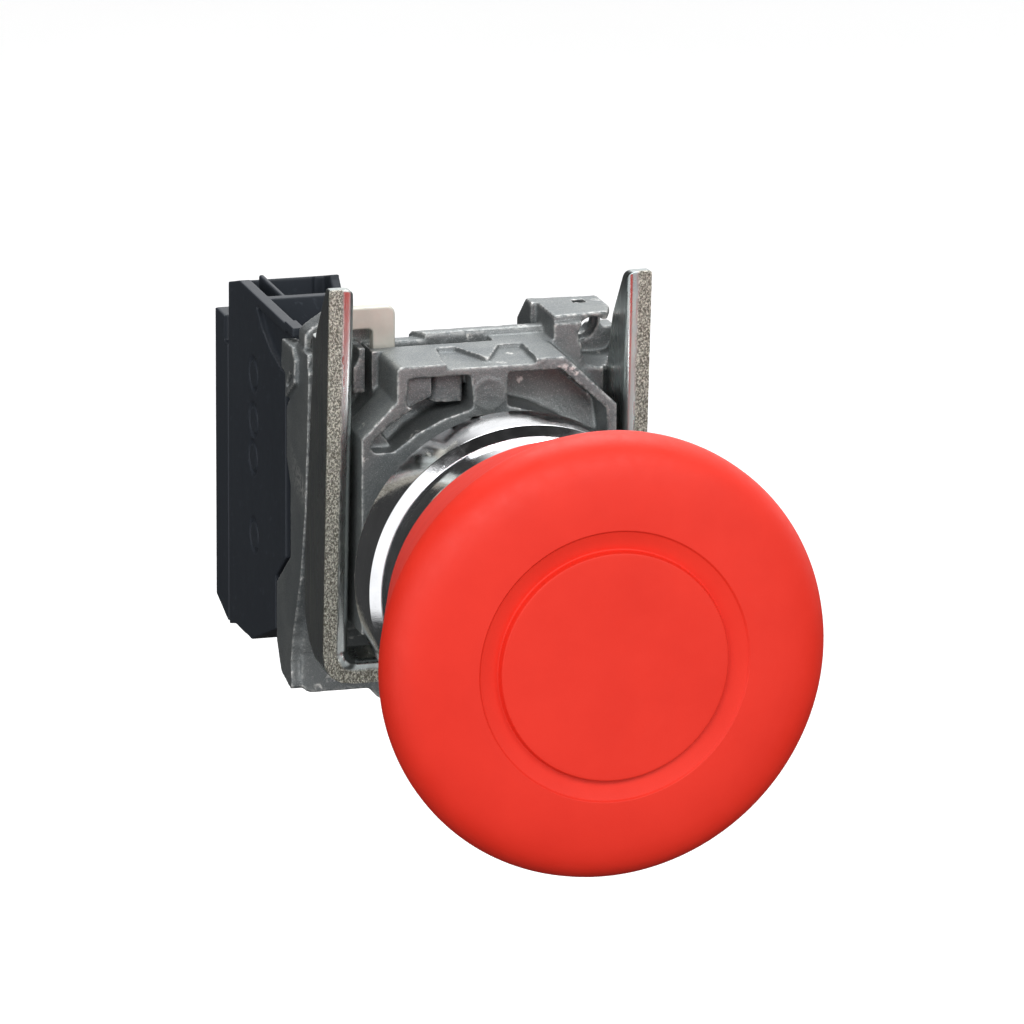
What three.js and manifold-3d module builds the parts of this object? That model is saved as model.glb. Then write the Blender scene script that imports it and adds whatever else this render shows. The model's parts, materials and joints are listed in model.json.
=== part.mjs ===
// Mushroom-head emergency stop button for a 22.5 mm panel hole: head, fixing collar with its clamping
// yoke, and one normally closed contact block. Millimetres. The push axis is Y: the cap faces -Y, the
// contact block lies at +Y, +Z is up. The origin is on the push axis in the rear plane of the bezel,
// which is the plane of the panel's front face.
import * as THREE from "three";
import { mergeVertices } from "three/addons/utils/BufferGeometryUtils.js";
import Module from "manifold-3d";

const wasm = await Module();
wasm.setup();

// ---- driving dimensions -------------------------------------------------------------------------

const GAP = 0.3; // clearance between neighbouring pieces

const CAP_RADIUS = 20;
const CAP_FACE_Y = -32.8; // front of the cap's centre disc
const CAP_WIDEST_Y = -28.8;
const CAP_REAR_RADIUS = 15;
const CAP_REAR_Y = -12.7; // rear rim of the cap's conical back
const DISC_RADIUS = 10.25; // raised disc in the middle of the cap
const DISC_GROOVE_RADIUS = 12.2;

const BEZEL_RADIUS = 14.5;
const BEZEL_DEPTH = 5.95;
const NECK_RADIUS = 13;
const NECK_FRONT_Y = -15;
const BARREL_RADIUS = 11.1; // fits the 22.5 mm hole
const BARREL_REAR_Y = 17;
const HUB_RADIUS = 10.6;

const COLLAR_FRONT_Y = 6.4; // thickest panel the collar leaves room for
const COLLAR_REAR_Y = 20.9;
const COLLAR_HALF_WIDTH = 12.05; // between the yoke's arms
const COLLAR_TOP_Z = 17.4;
const COLLAR_BORE = 11.7;
const COLLAR_REAR_TOP_Z = 16.3; // lower step behind the ridge
const COLLAR_HOUSING_Y = 15.75; // front of the casting's full-height rear part
const SIDE_X = 15; // outer faces of the collar's side plates, the yoke and the block
const EAR_TOP_Z = 19.6;
const EAR_HOLE = { x: 11.4, z: 17.7, radius: 1.5 };
const TIGHTENER = { x: -12.4, z: 17.3, radius: 1.5 };

const YOKE_SHEET = 2.3;
const YOKE_TOP_Z = 24.8;
const YOKE_BOTTOM_Z = -12.5;
const TAB_REAR_Y = 13.85; // bent tab of the yoke's left arm, which the tightening screw pushes

const LEVER_FRONT_Y = 14.15;
const LEVER_REAR_Y = 15.35;
const LEVER_RADIUS = 13.3;
const LEVER_TURN = 25; // degrees from locked to open

const BLOCK_RIGHT_X = -5.2;
const BLOCK_FRONT_Y = 22.3;
const BLOCK_SPLIT_Y = 43.3; // rear cover starts here
const BLOCK_REAR_Y = 48.3;
const BLOCK_WALL = 1.1;
const PLUNGER_X = -9;
const CONTACT_X = -10;
const TERMINAL_Z = 9.6;
const BRIDGE_Y = 32.9;

// ---- solids -------------------------------------------------------------------------------------

// A closed three.js geometry as a manifold-3d solid with its faces out.
function solid(geometry) {
  const bare = geometry.index ? geometry.toNonIndexed() : geometry.clone();
  for (const name of Object.keys(bare.attributes)) {
    if (name !== "position") bare.deleteAttribute(name);
  }
  const merged = mergeVertices(bare, 1e-4);
  const triVerts = new Uint32Array(merged.index.array);
  const make = () =>
    new wasm.Manifold(new wasm.Mesh({
      numProp: 3,
      vertProperties: new Float32Array(merged.attributes.position.array),
      triVerts,
    }));
  const made = make();
  if (made.volume() > 0) return made;
  for (let i = 0; i < triVerts.length; i += 3) {
    [triVerts[i + 1], triVerts[i + 2]] = [triVerts[i + 2], triVerts[i + 1]];
  }
  return make();
}

function join(...parts) {
  return parts.reduce((all, one) => all.add(one));
}

function cut(body, ...tools) {
  return tools.reduce((left, tool) => left.subtract(tool), body);
}

function geometryOf(manifold) {
  const mesh = manifold.getMesh();
  const geometry = new THREE.BufferGeometry();
  geometry.setAttribute("position", new THREE.BufferAttribute(new Float32Array(mesh.vertProperties), 3));
  geometry.setIndex(new THREE.BufferAttribute(new Uint32Array(mesh.triVerts), 1));
  geometry.computeVertexNormals();
  return geometry;
}

// An outline from corners [a, b, radius]; a corner with a radius is rounded.
function outline(corners) {
  const shape = new THREE.Shape();
  const at = (i) => new THREE.Vector2(...corners[(i + corners.length) % corners.length].slice(0, 2));
  corners.forEach((corner, i) => {
    const here = at(i);
    const radius = corner[2] || 0;
    const back = at(i - 1).sub(here);
    const ahead = at(i + 1).sub(here);
    const half = Math.abs(back.angleTo(ahead)) / 2;
    const reach = radius ? Math.min(radius / Math.tan(half), back.length() / 2.01, ahead.length() / 2.01) : 0;
    const start = here.clone().add(back.setLength(reach || 1e-9));
    const end = here.clone().add(ahead.setLength(reach || 1e-9));
    if (i === 0) shape.moveTo(start.x, start.y);
    else shape.lineTo(start.x, start.y);
    if (radius) shape.quadraticCurveTo(here.x, here.y, end.x, end.y);
  });
  return shape;
}

function extruded(shape, depth, curveSegments = 5) {
  return new THREE.ExtrudeGeometry(shape, { depth, bevelEnabled: false, steps: 1, curveSegments });
}

// An outline in X and Z, from y0 to y1.
function plateXZ(corners, y0, y1, curveSegments) {
  const geometry = extruded(outline(corners), y1 - y0, curveSegments);
  return solid(geometry.rotateX(Math.PI / 2).translate(0, y1, 0));
}

// An outline in Y and Z, from x0 to x1.
function plateYZ(corners, x0, x1, curveSegments) {
  const turn = new THREE.Matrix4().makeBasis(
    new THREE.Vector3(0, 1, 0),
    new THREE.Vector3(0, 0, 1),
    new THREE.Vector3(1, 0, 0),
  );
  return solid(extruded(outline(corners), x1 - x0, curveSegments).applyMatrix4(turn).translate(x0, 0, 0));
}

// An outline in X and Y, from z0 to z1.
function plateXY(corners, z0, z1, curveSegments) {
  return solid(extruded(outline(corners), z1 - z0, curveSegments).translate(0, 0, z0));
}

function box(x0, x1, y0, y1, z0, z1) {
  const geometry = new THREE.BoxGeometry(x1 - x0, y1 - y0, z1 - z0);
  return solid(geometry.translate((x0 + x1) / 2, (y0 + y1) / 2, (z0 + z1) / 2));
}

// A cylinder along Y.
function rod(x, z, radius, y0, y1, segments = 24) {
  const geometry = new THREE.CylinderGeometry(radius, radius, y1 - y0, segments);
  return solid(geometry.translate(x, (y0 + y1) / 2, z));
}

// A solid of revolution about a line along Y, from [radius, y] points that close on themselves.
function turned(points, segments = 48, x = 0, z = 0) {
  const profile = points.map(([radius, y]) => new THREE.Vector2(radius, y));
  if (points[0][0] > 0) profile.push(profile[0].clone());
  return solid(new THREE.LatheGeometry(profile, segments).translate(x, 0, z));
}

// A coil spring along Y with ends lying in flat turns.
function coil(x, z, radius, wire, y0, y1, turns, sides) {
  class Helix extends THREE.Curve {
    getPoint(t, target = new THREE.Vector3()) {
      const angle = t * turns * 2 * Math.PI;
      const rise = THREE.MathUtils.smoothstep(t, 0.08, 0.92) * 0.6 + t * 0.4;
      const y = y0 + wire + rise * (y1 - y0 - 2 * wire);
      return target.set(x + radius * Math.cos(angle), y, z + radius * Math.sin(angle));
    }
  }
  const section = new THREE.Shape();
  section.absarc(0, 0, wire, 0, 2 * Math.PI);
  const steps = Math.round(turns * 10);
  const options = { steps, curveSegments: sides / 2, bevelEnabled: false, extrudePath: new Helix() };
  return solid(new THREE.ExtrudeGeometry(section, options));
}

// The mirror image of a solid in the plane X = 0.
function mirrored(manifold) {
  return manifold.mirror([1, 0, 0]);
}

// ---- head ---------------------------------------------------------------------------------------

function mushroomCap() {
  const shoulder = [
    [12.9, CAP_FACE_Y + 0.3],
    [14.6, CAP_FACE_Y + 0.47],
    [16.2, CAP_FACE_Y + 0.8],
    [17.6, CAP_FACE_Y + 1.32],
    [18.8, CAP_FACE_Y + 2.1],
    [19.6, CAP_FACE_Y + 3],
    [CAP_RADIUS, CAP_WIDEST_Y],
    [19.8, CAP_WIDEST_Y + 0.55],
    [19.4, CAP_WIDEST_Y + 0.95],
  ];
  const inside = [
    [CAP_REAR_RADIUS, CAP_REAR_Y - 0.2],
    [CAP_REAR_RADIUS - 0.25, CAP_REAR_Y],
    [13.8, CAP_REAR_Y],
    [13.6, CAP_REAR_Y - 0.3],
    [17.2, -28.2],
    [15.8, -29.9],
    [HUB_RADIUS + 0.6, -30.3],
    [HUB_RADIUS, -29.7],
    [HUB_RADIUS, -8.7],
    [9.3, -8.7],
    [9.3, -20],
    [4.8, -20],
    [4.8, -27],
    [0, -27],
  ];
  return turned(
    [
      [0, CAP_FACE_Y],
      [DISC_RADIUS - 0.5, CAP_FACE_Y + 0.05],
      [DISC_RADIUS - 0.1, CAP_FACE_Y + 0.2],
      [DISC_RADIUS + 0.1, CAP_FACE_Y + 0.95],
      [DISC_GROOVE_RADIUS - 0.35, CAP_FACE_Y + 0.55],
      [DISC_GROOVE_RADIUS, CAP_FACE_Y + 0.22],
      ...shoulder,
      ...inside,
    ],
    60,
  );
}

function bezelRing() {
  return turned([
    [BARREL_RADIUS + 0.4, 0],
    [12.1, 0],
    [12.1, -0.9],
    [13.9, -0.9],
    [13.9, 0],
    [BEZEL_RADIUS - 0.25, 0],
    [BEZEL_RADIUS, -0.25],
    [BEZEL_RADIUS, 0.7 - BEZEL_DEPTH],
    [13.68, -BEZEL_DEPTH],
    [NECK_RADIUS + GAP, -BEZEL_DEPTH],
    [NECK_RADIUS + GAP, -1.5],
    [BARREL_RADIUS + 0.4, -1.5],
  ], 48);
}

function panelGasket() {
  return turned([
    [12.4, -0.6],
    [13.6, -0.6],
    [13.6, 0.3],
    [13.45, 0.45],
    [12.55, 0.45],
    [12.4, 0.25],
  ], 36);
}

function neckSleeve() {
  return turned([
    [NECK_RADIUS - 0.8, -3.3],
    [NECK_RADIUS, -3.3],
    [NECK_RADIUS, NECK_FRONT_Y + 0.4],
    [NECK_RADIUS - 0.4, NECK_FRONT_Y],
    [HUB_RADIUS + 0.8, NECK_FRONT_Y],
    [HUB_RADIUS + 0.8, NECK_FRONT_Y + 0.8],
    [NECK_RADIUS - 0.8, NECK_FRONT_Y + 0.8],
  ], 40);
}

function stemSeal() {
  return turned([
    [HUB_RADIUS + 0.3, -13.9],
    [11.9, -13.9],
    [11.9, -12.4],
    [11.5, -12.4],
    [11.3, -13.2],
    [HUB_RADIUS + 0.5, -12.7],
    [HUB_RADIUS + 0.3, -12.9],
  ], 40);
}

function headBarrel() {
  const tube = turned([
    [8.9, -3],
    [12.9, -3],
    [12.9, -1.8],
    [BARREL_RADIUS, -1.8],
    [BARREL_RADIUS, LEVER_FRONT_Y - 0.15],
    [10.3, LEVER_FRONT_Y - 0.15],
    [10.3, LEVER_REAR_Y + 0.15],
    [BARREL_RADIUS, LEVER_REAR_Y + 0.15],
    [BARREL_RADIUS, BARREL_REAR_Y - 0.3],
    [BARREL_RADIUS - 0.3, BARREL_REAR_Y],
    [6, BARREL_REAR_Y],
    [6, 15.6],
    [8.9, 15.6],
  ], 40);
  const key = box(-1.5, 1.5, 0.3, 4, 10.6, 12);
  return join(tube, key);
}

function pushStem() {
  const shaft = turned([
    [0, -26.7],
    [4, -26.7],
    [4.5, -26.2],
    [4.5, -19],
    [8.2, -17.5],
    [8.2, -15.5],
    [4.5, -14],
    [4.5, -2.7],
    [8.4, -2.7],
    [8.4, -1.6],
    [4.5, -1.6],
    [4.5, 3],
    [4, 3.3],
    [4, 4.4],
    [4.5, 4.7],
    [4.5, 7.3],
    [4, 7.6],
    [4, 8.7],
    [4.5, 9],
    [4.5, 17.1],
    [1.8, 17.1],
    [1.8, 9.2],
    [0, 9.2],
  ], 24);
  return shaft;
}

function detentClip() {
  class Ring extends THREE.Curve {
    getPoint(t, target = new THREE.Vector3()) {
      const angle = THREE.MathUtils.degToRad(-60 + 300 * t);
      return target.set(5.35 * Math.cos(angle), 8.15, 5.35 * Math.sin(angle));
    }
  }
  const section = new THREE.Shape();
  section.absarc(0, 0, 0.5, 0, 2 * Math.PI);
  const options = { steps: 24, curveSegments: 4, bevelEnabled: false, extrudePath: new Ring() };
  return solid(new THREE.ExtrudeGeometry(section, options));
}

function pusherPlate() {
  const disc = turned([
    [1.8, 17.4],
    [HUB_RADIUS, 17.4],
    [HUB_RADIUS, 18.35],
    [HUB_RADIUS - 0.3, 18.6],
    [3.4, 18.6],
    [3.4, 17.9],
    [1.8, 17.9],
  ], 36);
  return disc;
}

function pusherScrew() {
  const body = turned([
    [0, 9.6],
    [1, 9.6],
    [1.5, 10.1],
    [1.5, 18.2],
    [2.9, 18.2],
    [2.9, 19.4],
    [2.4, 20],
    [0, 20.2],
  ], 18);
  return cut(body, ...crossRecess(0, 0, 19.3, 20.5, 1));
}

// Two crossed slots that open towards +Y.
function crossRecess(x, z, y0, y1, size) {
  return [
    box(x - 1.5 * size, x + 1.5 * size, y0, y1, z - 0.3 * size, z + 0.3 * size),
    box(x - 0.3 * size, x + 0.3 * size, y0, y1, z - 1.5 * size, z + 1.5 * size),
  ];
}

// ---- fixing collar ------------------------------------------------------------------------------

function collarFrontPlate() {
  const right = COLLAR_HALF_WIDTH - 0.3;
  return plateXZ([
    [-COLLAR_HALF_WIDTH, -7.2],
    [right, -7.2],
    [right, 12.7],
    [6.9, COLLAR_TOP_Z, 0.4],
    [-8.8, COLLAR_TOP_Z, 0.7],
    [-8.8, 14.2],
    [-COLLAR_HALF_WIDTH, 11],
  ], COLLAR_FRONT_Y, 12.8);
}

// The rear part between the side plates, with a low rear step and an undercut front below.
function collarHousing() {
  const profile = [
    [12.6, -7.2],
    [COLLAR_HOUSING_Y, -7.2],
    [COLLAR_HOUSING_Y, -9.4],
    [19.9, -12.8],
    [19.9, -15.2],
    [COLLAR_REAR_Y, -15.2],
    [COLLAR_REAR_Y, COLLAR_REAR_TOP_Z],
    [17.3, COLLAR_REAR_TOP_Z],
    [17.1, COLLAR_TOP_Z],
    [12.6, COLLAR_TOP_Z],
  ];
  const half = COLLAR_HALF_WIDTH - 0.3;
  const wide = plateYZ(profile, -half, half);
  const flank = box(-12.3, 12.3, COLLAR_HOUSING_Y, COLLAR_REAR_Y, -9.4, COLLAR_REAR_TOP_Z);
  const foot = plateXZ([
    [-14.1, -16.4, 1.2],
    [-7.7, -16.4],
    [-6.8, -17.4],
    [6.8, -17.4],
    [7.7, -16.4],
    [14.1, -16.4, 1.2],
    [14.1, -12.8],
    [-14.1, -12.8],
  ], 19.9, COLLAR_REAR_Y);
  return join(wide, flank, foot);
}

// The side plate on the +X side and the root that joins it to the housing.
function sidePlate() {
  const plate = plateYZ([
    [14.2, 15.7],
    [14.3, 17],
    [20.4, 17],
    [20.4, 11.6],
    [21.8, 10.4],
    [21.8, 5.6],
    [20.4, 3.2],
    [20.4, -3.4],
    [25.6, -7.2],
    [25.6, -12.8],
    [23.9, -15.4, 0.8],
    [20, -16.2, 0.6],
    [20.35, -13.6],
    [19.7, -11],
    [16.9, -4.7],
    [15.8, -0.4],
    [15.2, 2],
    [14.9, 5],
    [14.4, 9],
    [13.9, 15.3],
  ], SIDE_X - 1, SIDE_X);
  const root = plateYZ([
    [15.75, 17],
    [20.2, 17],
    [20.2, -15.2],
    [19.9, -15.2],
    [19.9, -12.8],
    [17.6, -4.7],
    [16.4, 1],
    [15.75, 5],
  ], 12.2, SIDE_X - 0.9);
  return join(plate, root);
}

// The ear beside the yoke's right arm: a post and a shelf over a round-bottomed recess.
function rightEar() {
  const shelf = plateXY([
    [7.57, 12.7],
    [12.8, 13.2],
    [13.6, 15.2],
    [13.6, 19.4],
    [7.57, 19.7],
  ], 14, EAR_TOP_Z);
  const post = box(7.57, 10.2, 12.5, 13.4, 12, 18.95);
  const foot = box(10, 12.3, 12.5, 16, 12, 14.6);
  const cheek = plateYZ([
    [18, EAR_TOP_Z],
    [19.8, EAR_TOP_Z],
    [22.6, 17.2],
    [22.6, 15.6],
    [18, 15.6],
  ], 6.95, 7.75);
  const recess = plateXZ([
    [10.2, 14.6, 2],
    [14.7, 14.6, 1.5],
    [14.7, 18.8],
    [10.2, 18.8],
  ], 12, 17.9);
  const hole = rod(EAR_HOLE.x, EAR_HOLE.z, EAR_HOLE.radius, 12, 22, 20);
  const counterbore = rod(EAR_HOLE.x, EAR_HOLE.z, EAR_HOLE.radius + 0.4, 17, 18.4, 20);
  return { add: [shelf, post, foot, cheek], remove: [recess, hole, counterbore], later: [] };
}

// The ear behind the yoke's tab, which is tapped for the tightening screw.
function leftEar() {
  const nut = plateXZ([
    [-14.8, 14],
    [-7.4, 14],
    [-7.4, 18.4, 0.8],
    [-9, 20.1, 0.5],
    [-12.6, 20.1, 0.9],
    [-14.8, 18.6, 1.2],
  ], 16.1, 18.3);
  const recess = plateXZ([
    [-13.8, 10.3],
    [-11, 10.9, 0.8],
    [-9.45, 13, 1.5],
    [-9.45, 21],
    [-13.8, 21],
  ], 12, COLLAR_HOUSING_Y + 0.35);
  const shank = rod(TIGHTENER.x, TIGHTENER.z, TIGHTENER.radius + GAP, 12, 22, 24);
  const pad = box(-11.15, -10.05, 12.7, 16.3, 13.6, 17.7);
  return { add: [nut], remove: [recess, shank], later: [cut(pad, shank)] };
}

// Blind pockets in the front face, left and right of the centre post.
function frontPockets() {
  const left = [
    [-7.72, 16.3],
    [-1.95, 16.3, 0.4],
    [-1.65, 13.2, 0.5],
    [-4.3, 12.45],
    [-6.95, 11.2],
    [-8.8, 9.85],
    [-9.2, 9.62],
    [-10.8, 9.65, 0.3],
    [-11.2, 10, 0.3],
    [-10.85, 11, 0.2],
    [-10.19, 11.48],
    [-9.24, 12.26],
    [-8.13, 13.02],
    [-7.3, 13.5],
    [-7.9, 13.8, 0.2],
  ];
  const right = [
    [1.5, 16.3, 0.3],
    [6.5, 16.3, 0.4],
    [10.75, 12.4],
    [10.85, 9.6, 0.4],
    [9.2, 9.6],
    [6.95, 11.2],
    [4.3, 12.45],
    [1.5, 13.25],
  ];
  const deep = (x0, x1) =>
    plateYZ([
      [COLLAR_FRONT_Y - 1, 20],
      [COLLAR_FRONT_Y - 1, 8],
      [COLLAR_FRONT_Y + 2.2, 8],
      [COLLAR_FRONT_Y + 4.6, 12.6],
      [COLLAR_FRONT_Y + 5.4, 20],
    ], x0, x1);
  const innerPost = plateXY([
    [-5.4, 13.5],
    [-5.4, 8.1, 1.6],
    [-2.2, 8, 0.5],
    [-2.2, 13.5],
  ], 13.5, 17);
  const shallowPanel = plateXZ([
    [-5.4, 17],
    [-8.2, 17],
    [-8.2, 13.4],
    [-7.05, 13.62],
    [-5.4, 14.3],
  ], 7.2, 13.5);
  const shallowEnd = plateXZ([
    [-12, 9],
    [-8.6, 9],
    [-9.07, 10.06],
    [-10.19, 11.5],
    [-12, 12],
  ], 8.1, 13.5);
  const leftPocket = plateXZ(left, COLLAR_FRONT_Y - 1, 14).intersect(deep(-13, 0));
  const rightPocket = plateXZ(right, COLLAR_FRONT_Y - 1, 14).intersect(deep(0, 13));
  return [cut(leftPocket, innerPost, shallowPanel, shallowEnd), rightPocket];
}

// A shallow recess in the top of the front plate, which leaves a pointer on the centre line.
function topRecess() {
  return plateXY([
    [-4.25, 5],
    [3.9, 5],
    [4.3, 7.6],
    [4.4, 12.3],
    [2.3, 12.3],
    [0.25, 8],
    [-0.1, 8],
    [-1.8, 12.5],
    [-3.5, 12.5],
    [-4.1, 8],
  ], COLLAR_TOP_Z - 0.45, COLLAR_TOP_Z + 1);
}

// The lug on the left side plate that the contact block hooks on, with its slanted window.
function blockLug() {
  const plate = plateYZ([
    [21.6, 16.8],
    [18, 16.8],
    [17.1, 15.8],
    [17.3, 13.6],
    [20.5, 11.5],
    [20.5, 13.9],
    [21.9, 14.1],
  ], -SIDE_X - 0.5, -SIDE_X + 0.9);
  const window = plateYZ([
    [17.9, 14.3],
    [18.6, 14.5],
    [20, 13],
    [19.9, 12.5],
  ], -SIDE_X - 1, -SIDE_X + 0.5);
  return cut(plate, window);
}

// Room for the locking lever: a ring groove and an opening through the top.
function leverSlot() {
  const front = LEVER_FRONT_Y - GAP;
  const rear = LEVER_REAR_Y + GAP;
  const radius = LEVER_RADIUS + GAP;
  const ring = turned([
    [COLLAR_BORE - 0.5, front],
    [radius, front],
    [radius, rear],
    [COLLAR_BORE - 0.5, rear],
  ], 40);
  const mouth = plateXZ([
    [-9.25, 9],
    [-3, 9],
    [1.8, 13],
    [2.6, 22],
    [-9.25, 22],
  ], front, rear);
  return join(ring, mouth);
}

// The rounded ridge behind the lever's slot; its left end is cut off at a slant.
function rearRidge() {
  const bar = plateYZ([
    [LEVER_REAR_Y + GAP, 16],
    [LEVER_REAR_Y + GAP, COLLAR_TOP_Z + 0.65, 0.5],
    [17.6, COLLAR_TOP_Z + 0.45, 0.6],
    [17.6, 16],
  ], -4.8, 7.6);
  const plan = plateXY([
    [-3.4, LEVER_REAR_Y],
    [-4.8, 17.7],
    [7.7, 17.7],
    [7.7, LEVER_REAR_Y],
  ], 15, 20);
  return bar.intersect(plan);
}

function collarBody() {
  const ears = [rightEar(), leftEar()];
  const plate = sidePlate();
  const cast = join(
    collarFrontPlate(),
    collarHousing(),
    plate,
    mirrored(plate),
    rearRidge(),
    blockLug(),
    ...ears.flatMap((ear) => ear.add),
  );
  const bore = rod(0, 0, COLLAR_BORE, 0, 30, 48);
  const keyway = box(-1.9, 1.9, 5, 9, 10, 12.4);
  const machined = cut(
    cast,
    bore,
    keyway,
    leverSlot(),
    topRecess(),
    ...frontPockets(),
    ...ears.flatMap((ear) => ear.remove),
  );
  return join(machined, ...ears.flatMap((ear) => ear.later));
}

// A steel ring plate with two inner teeth that close on the barrel, and an L-shaped finger tab that
// stands out of the slot in the casting's top.
function lockingLever() {
  const disc = turned([
    [BARREL_RADIUS + GAP, LEVER_FRONT_Y],
    [LEVER_RADIUS, LEVER_FRONT_Y],
    [LEVER_RADIUS, LEVER_REAR_Y],
    [BARREL_RADIUS + GAP, LEVER_REAR_Y],
  ], 40);
  const between = box(-12.35, 12.35, LEVER_FRONT_Y - 1, LEVER_REAR_Y + 1, -20, 20);
  const ring = [0, 0.25, 0.5, 0.75, 1].reduce(
    (left, share) => left.intersect(between.rotate([0, -share * LEVER_TURN, 0])),
    disc,
  );
  const tooth = plateXZ([
    [-3, 10.7],
    [3, 10.7],
    [3.2, 12.4],
    [-3.2, 12.4],
  ], LEVER_FRONT_Y, LEVER_REAR_Y);
  const tab = plateXZ([
    [-8.95, 8.6],
    [-6.85, 10],
    [-6.85, 21.1, 0.8],
    [-13.1, 21.1, 0.5],
    [-13.1, 19.1, 0.5],
    [-8.95, 19.1, 0.5],
  ], LEVER_FRONT_Y, LEVER_REAR_Y);
  return join(ring, tab, tooth, tooth.rotate([0, 180, 0]));
}

// The yoke's tab: a tongue bent inwards from the left arm's rear edge.
function yokeTab() {
  const inner = SIDE_X - YOKE_SHEET;
  return plateXY([
    [-SIDE_X, 10.6],
    [-SIDE_X, TAB_REAR_Y, 1.6],
    [-11.5, TAB_REAR_Y, 0.3],
    [-11.5, TAB_REAR_Y - YOKE_SHEET, 0.3],
    [-inner, TAB_REAR_Y - YOKE_SHEET],
    [-inner, 10.6],
  ], 16.2, 19.3);
}

// One folded strip: two arms and a crossbar that passes under the barrel.
function clampYoke() {
  const inner = SIDE_X - YOKE_SHEET;
  const section = [
    [-SIDE_X, YOKE_TOP_Z, 0.3],
    [-SIDE_X, YOKE_BOTTOM_Z, 3],
    [-8, YOKE_BOTTOM_Z],
    [-5, -14.1, 2],
    [5, -14.1, 2],
    [8, YOKE_BOTTOM_Z],
    [SIDE_X, YOKE_BOTTOM_Z, 3],
    [SIDE_X, YOKE_TOP_Z, 0.3],
    [inner, YOKE_TOP_Z, 0.8],
    [inner, YOKE_BOTTOM_Z + YOKE_SHEET, 0.9],
    [-inner, YOKE_BOTTOM_Z + YOKE_SHEET, 0.9],
    [-inner, YOKE_TOP_Z, 0.8],
  ];
  const strip = plateXZ(section, 5, 17, 4);
  const side = [
    [6.55, YOKE_TOP_Z + 0.1],
    [7.7, YOKE_TOP_Z + 0.1],
    [11.3, 19.9],
    [12.4, 16.8],
    [13.1, 13],
    [14.3, 5],
    [15.2, -1],
    [15.4, -7.4, 2.4],
    [13.6, -10, 1.6],
    [12.2, -11.2],
    [12.2, -15],
    [9, -15],
    [8.9, -12.5],
  ];
  const blank = plateYZ(side, -SIDE_X - 1, SIDE_X + 1);
  const relief = rod(0, 0, 12.2, 4, 18, 48);
  return cut(join(strip.intersect(blank), yokeTab()), relief);
}

// A grub screw with a dog point that bears on the yoke's tab; its slot faces the rear.
function tighteningScrew() {
  const { x, z, radius } = TIGHTENER;
  const body = turned([
    [0, TAB_REAR_Y + GAP],
    [0.85, TAB_REAR_Y + GAP],
    [1.05, TAB_REAR_Y + 0.5],
    [1.05, 15.4],
    [radius, 15.8],
    [radius, 19],
    [radius - 0.3, 19.3],
    [0, 19.3],
  ], 20, x, z);
  return cut(body, box(x - 2, x + 2, 18.3, 20, z - 0.25, z + 0.25));
}

// ---- contact block ------------------------------------------------------------------------------

// The room inside the housing: carriage, bridge, terminals and the wire slots above and below.
function contactRooms() {
  const middle = box(-13.4, -6.6, 25.3, 44, -6.2, 6.2);
  const stations = [1, -1].flatMap((side) => {
    const near = side > 0 ? 6 : -12.6;
    const wire = side > 0 ? 12 : -20;
    return [
      box(-13.4, -6.6, 40.2, 44, near, near + 6.6),
      box(-12.9, -7.1, 41.3, 42.4, wire, wire + 8),
      rod(CONTACT_X, TERMINAL_Z * side, 1.8, 37.2, 41, 16),
    ];
  });
  return [middle, ...stations];
}

function blockShell() {
  const inX = -SIDE_X + BLOCK_WALL;
  const inRight = BLOCK_RIGHT_X - 0.9;
  const shell = plateYZ([
    [BLOCK_FRONT_Y, -10.6],
    [26, -11.9],
    [34.95, -15.4],
    [41.1, -15.6],
    [BLOCK_SPLIT_Y, -16.2],
    [BLOCK_SPLIT_Y, 16.9],
    [39.2, 18],
    [BLOCK_FRONT_Y, 18],
  ], -SIDE_X, BLOCK_RIGHT_X);
  const noseWall = box(-SIDE_X, inX, 19.6, BLOCK_FRONT_Y + 0.2, 17.35, 18.2);
  const wells = [
    box(inX, inRight, 21, 31.7, 12, 20),
    box(inX, inRight, 32.7, 41.9, 14.6, 20),
    box(inX, inRight, 36, 41.9, -20, -13.6),
  ];
  const rightDip = plateYZ([
    [20, 15.4],
    [38, 15.8],
    [40, 17.5],
    [40, 20],
    [20, 20],
  ], inRight - 0.1, BLOCK_RIGHT_X + 1);
  const rib = box(-12.6, -12.1, 32.5, 42, 14.4, 17.9);
  return join(cut(join(shell, noseWall), ...wells, rightDip), rib);
}

// The shallow field on the upper front of the left wall, which shows the wall's rim above it.
function sideField() {
  const corners = [
    [18, 17.1],
    [33.2, 17.1],
    [30.7, 15.3],
    [27.8, 14.1],
    [24.1, 13.3],
    [20.9, 13.2],
    [18, 11],
  ];
  return plateYZ(corners, -SIDE_X - 1, -SIDE_X + 0.6);
}

function blockHousing() {
  const plungerHole = rod(PLUNGER_X, 0, 1.8, 20, 26, 16);
  const pusherRoom = rod(0, 0, 11.3, 20, 23.4, 40);
  const hookRoom = plateYZ([
    [20, -2.6],
    [20.8, -3],
    [26, -6.8],
    [26, -20],
    [20, -20],
  ], -SIDE_X - 1, -SIDE_X + 1.3);
  return cut(blockShell(), ...contactRooms(), sideField(), plungerHole, pusherRoom, hookRoom);
}

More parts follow.
